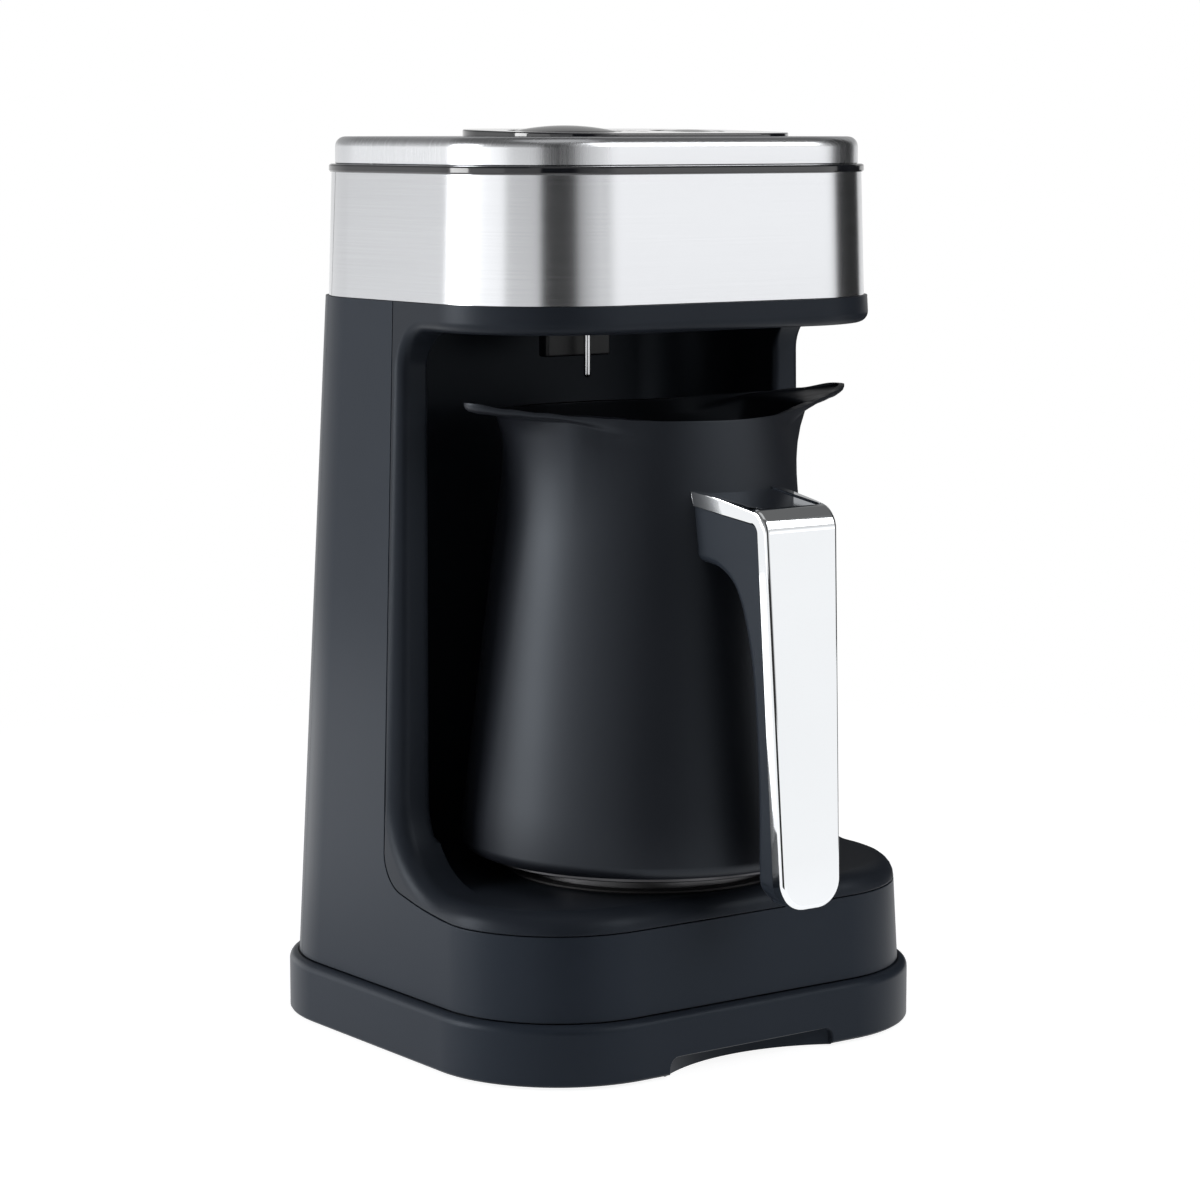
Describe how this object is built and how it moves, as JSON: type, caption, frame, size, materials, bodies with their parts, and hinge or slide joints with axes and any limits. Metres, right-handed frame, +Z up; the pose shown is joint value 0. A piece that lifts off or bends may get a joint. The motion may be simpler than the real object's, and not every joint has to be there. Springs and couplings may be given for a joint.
{
  "type": "electric turkish coffee maker",
  "caption": "Tall electric coffee maker with a steel head, foam probe, heated deck and a lift-out coated pot with two spouts and a chrome handle.",
  "frame": {"origin": "on the table under the middle of the overall footprint, which takes in the pot's handle", "axes": "+Z up, -Y to the front where the pot's handle points, +X to the right of someone who faces the front"},
  "size_m": [0.163, 0.1816, 0.2702],
  "materials": {
    "body_plastic": "satin charcoal plastic",
    "liner_plastic": "satin charcoal plastic",
    "inner_plastic": "plain black plastic",
    "rubber": "matt black rubber",
    "band_steel": "fine brushing round the band",
    "cover_steel": "satin steel",
    "trim_gloss": "black gloss",
    "panel_gloss": "black gloss",
    "button_gloss": "black gloss",
    "lens": "frosted clear",
    "board": "green circuit board",
    "device_dark": "moulded",
    "relay_blue": "moulded",
    "transformer_core": "varnished laminations",
    "terminal_white": "moulded",
    "wire_red": "wire insulation",
    "wire_grey": "wire insulation",
    "plate_cast": "machined casting",
    "silicone": "matt seal",
    "heater_tube": "heat stained",
    "shield_steel": "plain sheet",
    "ceramic": "plain",
    "probe_steel": "polished",
    "holder_plastic": "plain black plastic",
    "screw_steel": "zinc plated",
    "pot_coating": "matt black coating",
    "disc_metal": "bare",
    "grip_plastic": "satin dark plastic",
    "handle_chrome": "polished",
    "pad_gloss": "dark gloss"
  },
  "bodies": {
    "housing": {"base_skirt": "body_plastic", "bottom_plate": "inner_plastic", "rubber_feet": "rubber", "outer_shell": "body_plastic", "niche_liner": "liner_plastic", "rear_cover": "body_plastic", "head_frame": "inner_plastic", "steel_band": "band_steel", "rear_band": "band_steel", "trim_ring": "trim_gloss", "top_cover": "cover_steel", "control_panel": "panel_gloss", "indicator_lens": "lens", "control_board": "board", "tact_switches": "device_dark", "buzzer": "device_dark", "power_board": "board", "relay": "relay_blue", "transformer": "transformer_core", "terminal_block": "terminal_white", "cord_gland": "rubber", "supply_wires": "wire_red", "signal_wires": "wire_grey", "hot_plate": "plate_cast", "plate_gasket": "silicone", "heating_element": "heater_tube", "heat_shield": "shield_steel", "thermostat": "ceramic", "thermal_fuse": "ceramic", "foam_probe": "probe_steel", "probe_holder": "holder_plastic", "base_screws": "screw_steel", "shield_screws": "screw_steel", "cover_screws": "screw_steel", "lid_screws": "screw_steel", "board_screws": "screw_steel"},
    "start_button": {"start_button": "button_gloss"},
    "cup_button": {"cup_button": "button_gloss"},
    "pot": {"pot_shell": "pot_coating", "pot_base_disc": "disc_metal", "handle_bracket": "screw_steel", "handle_grip": "grip_plastic", "handle_trim": "handle_chrome", "handle_pad": "pad_gloss", "handle_screw": "screw_steel"}
  },
  "joints": [
    {"name": "start_press", "type": "slide", "parent": "housing", "child": "start_button", "axis": [0, 0, -1], "range_m": [0, 0.001], "stiffness_N_per_m": 900},
    {"name": "cup_press", "type": "slide", "parent": "housing", "child": "cup_button", "axis": [0, 0, -1], "range_m": [0, 0.001], "stiffness_N_per_m": 900},
    {"name": "pot_out", "type": "slide", "parent": "housing", "child": "pot", "axis": [0, -1, 0], "range_m": [0, 0.17]}
  ]
}
